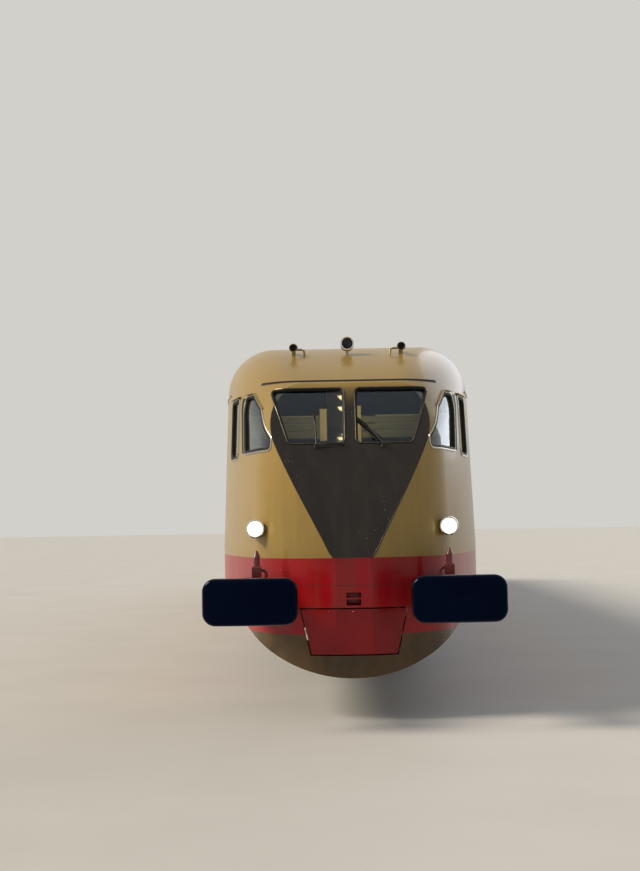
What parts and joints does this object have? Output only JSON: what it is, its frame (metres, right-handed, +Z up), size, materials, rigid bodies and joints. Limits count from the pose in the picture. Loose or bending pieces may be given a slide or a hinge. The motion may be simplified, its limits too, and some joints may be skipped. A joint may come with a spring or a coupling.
{
  "type": "electric railcar",
  "caption": "Streamlined electric motor coach with rounded noses, two-pane windscreens, wide buffers, skirted underframe, swivelling bogies, hinged doors and a diamond pantograph",
  "frame": {"origin": "centre of the car's footprint, on the plane that the wheel flanges touch", "axes": "+Y along the car towards the rear cab, +X to the right seen by someone who looks along +Y, +Z up"},
  "size_m": [2.78, 28.2, 4.1374],
  "materials": {
    "khaki_paint": "semi-gloss",
    "roof_paint": "semi-gloss",
    "belly_paint": "gloss",
    "red_paint": "gloss",
    "buffer_black": "gloss",
    "casting_red": "semi-gloss",
    "frame_black": "matte",
    "running_gear": "matte",
    "tyre_steel": "satin",
    "clear_glass": "polished",
    "lens_glass": "polished",
    "lamp_rim": "polished",
    "interior_panel": "satin",
    "seat_leather": "satin",
    "floor_lino": "matte",
    "desk_paint": "satin",
    "horn_brass": "satin",
    "pantograph_steel": "satin",
    "insulator": "gloss"
  },
  "bodies": {
    "car": {"air_tanks": "frame_black", "apron_front": "belly_paint", "apron_rear": "belly_paint", "buffer_casings": "buffer_black", "buffer_plates": "buffer_black", "bulkheads": "interior_panel", "cab_glass": "clear_glass", "centre_pivots": "frame_black", "door_steps": "frame_black", "drawgear_hatches": "red_paint", "driver_chairs": "seat_leather", "driving_desks": "desk_paint", "floor": "floor_lino", "headlamp_buckets": "lamp_rim", "headlamp_lenses": "lens_glass", "lamp_irons": "casting_red", "nose_front": "khaki_paint", "nose_rear": "khaki_paint", "pantograph_base": "pantograph_steel", "pantograph_insulators": "insulator", "roof": "roof_paint", "roof_horns": "horn_brass", "roof_vents": "roof_paint", "saloon_glass": "clear_glass", "saloon_seats": "seat_leather", "side_wall_left": "khaki_paint", "side_wall_right": "khaki_paint", "skirt_left": "belly_paint", "skirt_right": "belly_paint", "underfloor_cases": "frame_black", "underframe": "frame_black"},
    "bogie_front": {"bogie_frame_front": "running_gear", "axle_boxes_front": "running_gear", "leaf_springs_front": "running_gear", "traction_motors_front": "running_gear"},
    "bogie_rear": {"bogie_frame_rear": "running_gear", "axle_boxes_rear": "running_gear", "leaf_springs_rear": "running_gear", "traction_motors_rear": "running_gear"},
    "wheels_1": {"wheelset_1": "tyre_steel"},
    "wheels_2": {"wheelset_2": "tyre_steel"},
    "wheels_3": {"wheelset_3": "tyre_steel"},
    "wheels_4": {"wheelset_4": "tyre_steel"},
    "door_front_right": {"door_front_right": "khaki_paint"},
    "door_front_left": {"door_front_left": "khaki_paint"},
    "door_rear_right": {"door_rear_right": "khaki_paint"},
    "door_rear_left": {"door_rear_left": "khaki_paint"},
    "pantograph_lower_front": {"pantograph_lower_front": "pantograph_steel"},
    "pantograph_lower_rear": {"pantograph_lower_rear": "pantograph_steel"},
    "pantograph_upper_front": {"pantograph_upper_front": "pantograph_steel"},
    "pantograph_upper_rear": {"pantograph_upper_rear": "pantograph_steel"},
    "pantograph_head": {"pantograph_head": "pantograph_steel"}
  },
  "joints": [
    {"name": "bogie_front_swivel", "type": "hinge", "parent": "car", "child": "bogie_front", "pos_m": [0, -7.2, 0.8], "axis": [0, 0, 1], "range_deg": [-4, 4]},
    {"name": "bogie_rear_swivel", "type": "hinge", "parent": "car", "child": "bogie_rear", "pos_m": [0, 7.2, 0.8], "axis": [0, 0, 1], "range_deg": [-4, 4]},
    {"name": "wheels_1_turn", "type": "hinge", "parent": "bogie_front", "child": "wheels_1", "pos_m": [0, -8.5, 0.5], "axis": [1, 0, 0], "continuous": true},
    {"name": "wheels_2_turn", "type": "hinge", "parent": "bogie_front", "child": "wheels_2", "pos_m": [0, -5.9, 0.5], "axis": [1, 0, 0], "continuous": true},
    {"name": "wheels_3_turn", "type": "hinge", "parent": "bogie_rear", "child": "wheels_3", "pos_m": [0, 5.9, 0.5], "axis": [1, 0, 0], "continuous": true},
    {"name": "wheels_4_turn", "type": "hinge", "parent": "bogie_rear", "child": "wheels_4", "pos_m": [0, 8.5, 0.5], "axis": [1, 0, 0], "continuous": true},
    {"name": "door_front_right_swing", "type": "hinge", "parent": "car", "child": "door_front_right", "pos_m": [1.19, -4.506, 2.03], "axis": [0, 0, 1], "range_deg": [0, 85]},
    {"name": "door_front_left_swing", "type": "hinge", "parent": "car", "child": "door_front_left", "pos_m": [-1.19, -4.506, 2.03], "axis": [0, 0, -1], "range_deg": [0, 85]},
    {"name": "door_rear_right_swing", "type": "hinge", "parent": "car", "child": "door_rear_right", "pos_m": [1.19, 4.506, 2.03], "axis": [0, 0, -1], "range_deg": [0, 85]},
    {"name": "door_rear_left_swing", "type": "hinge", "parent": "car", "child": "door_rear_left", "pos_m": [-1.19, 4.506, 2.03], "axis": [0, 0, 1], "range_deg": [0, 85]},
    {"name": "pantograph_raise", "type": "hinge", "parent": "car", "child": "pantograph_lower_front", "pos_m": [0, 5.84, 3.85], "axis": [-1, 0, 0], "range_deg": [0, 50]},
    {"name": "pantograph_lower_rear_fold", "type": "hinge", "parent": "car", "child": "pantograph_lower_rear", "pos_m": [0, 6.16, 3.85], "axis": [1, 0, 0], "range_deg": [0, 50]},
    {"name": "pantograph_upper_front_fold", "type": "hinge", "parent": "pantograph_lower_front", "child": "pantograph_upper_front", "pos_m": [0, 4.64292, 3.93371], "axis": [-1, 0, 0], "range_deg": [-100, 0]},
    {"name": "pantograph_upper_rear_fold", "type": "hinge", "parent": "pantograph_lower_rear", "child": "pantograph_upper_rear", "pos_m": [0, 7.35708, 3.93371], "axis": [1, 0, 0], "range_deg": [-100, 0]},
    {"name": "pantograph_head_level", "type": "hinge", "parent": "pantograph_upper_front", "child": "pantograph_head", "pos_m": [0, 5.84, 4.01742], "axis": [-1, 0, 0], "range_deg": [0, 50]}
  ],
  "couplings": [
    {"joint": "pantograph_lower_rear_fold", "follows": "pantograph_raise", "ratio": 1},
    {"joint": "pantograph_upper_front_fold", "follows": "pantograph_raise", "ratio": -2},
    {"joint": "pantograph_upper_rear_fold", "follows": "pantograph_raise", "ratio": -2},
    {"joint": "pantograph_head_level", "follows": "pantograph_raise", "ratio": 1}
  ]
}
